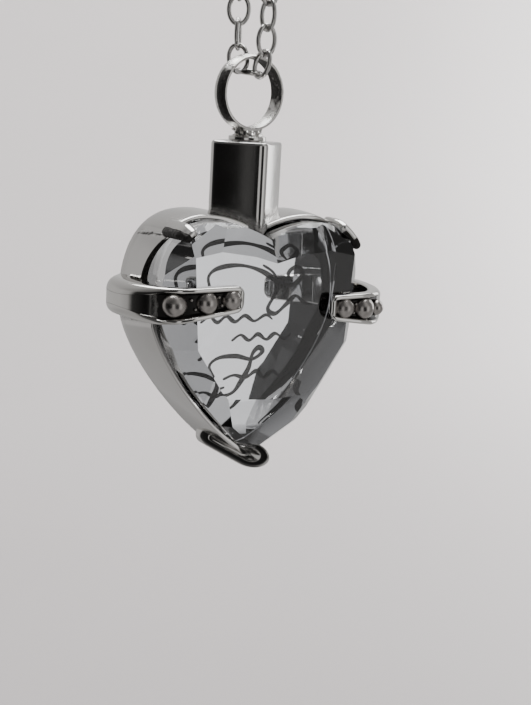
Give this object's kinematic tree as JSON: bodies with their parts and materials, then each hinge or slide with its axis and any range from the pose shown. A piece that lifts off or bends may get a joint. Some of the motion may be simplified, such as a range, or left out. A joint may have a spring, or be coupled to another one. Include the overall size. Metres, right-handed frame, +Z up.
{
  "type": "keepsake urn pendant",
  "caption": "Heart-shaped crystal pendant in a steel setting with a square ash barrel, screw plug, bail ring and fine cable chain.",
  "frame": {"origin": "middle of the chain's thickness where its loop lies over the hook that it hangs from", "axes": "+Z up along the hanging chain, +Y towards the pendant's back, +X to the right as seen from the front"},
  "size_m": [0.0296, 0.0197, 0.2609],
  "materials": {
    "steel_chain": "polished stainless steel links",
    "steel_clasp": "polished stainless steel",
    "steel_plug": "brushed stainless steel with a heat tint at the weld",
    "steel_setting": "mirror polished stainless steel with dark oxidised recesses",
    "crystal": "clear faceted crystal glass"
  },
  "bodies": {
    "chain": {"chain": "steel_chain", "clasp": "steel_clasp"},
    "plug": {"bail_plug": "steel_plug"},
    "urn": {"heart_setting": "steel_setting", "crystal_heart": "crystal"}
  },
  "joints": [
    {"name": "pendant_swing", "type": "hinge", "parent": "chain", "child": "plug", "pos_m": [0, 0, -0.22], "axis": [-0.1564, 0.9877, 0], "range_deg": [-60, 60]},
    {"name": "plug_unscrew", "type": "slide", "parent": "plug", "child": "urn", "axis": [0, 0, -1], "range_m": [0, 0.0055]}
  ]
}
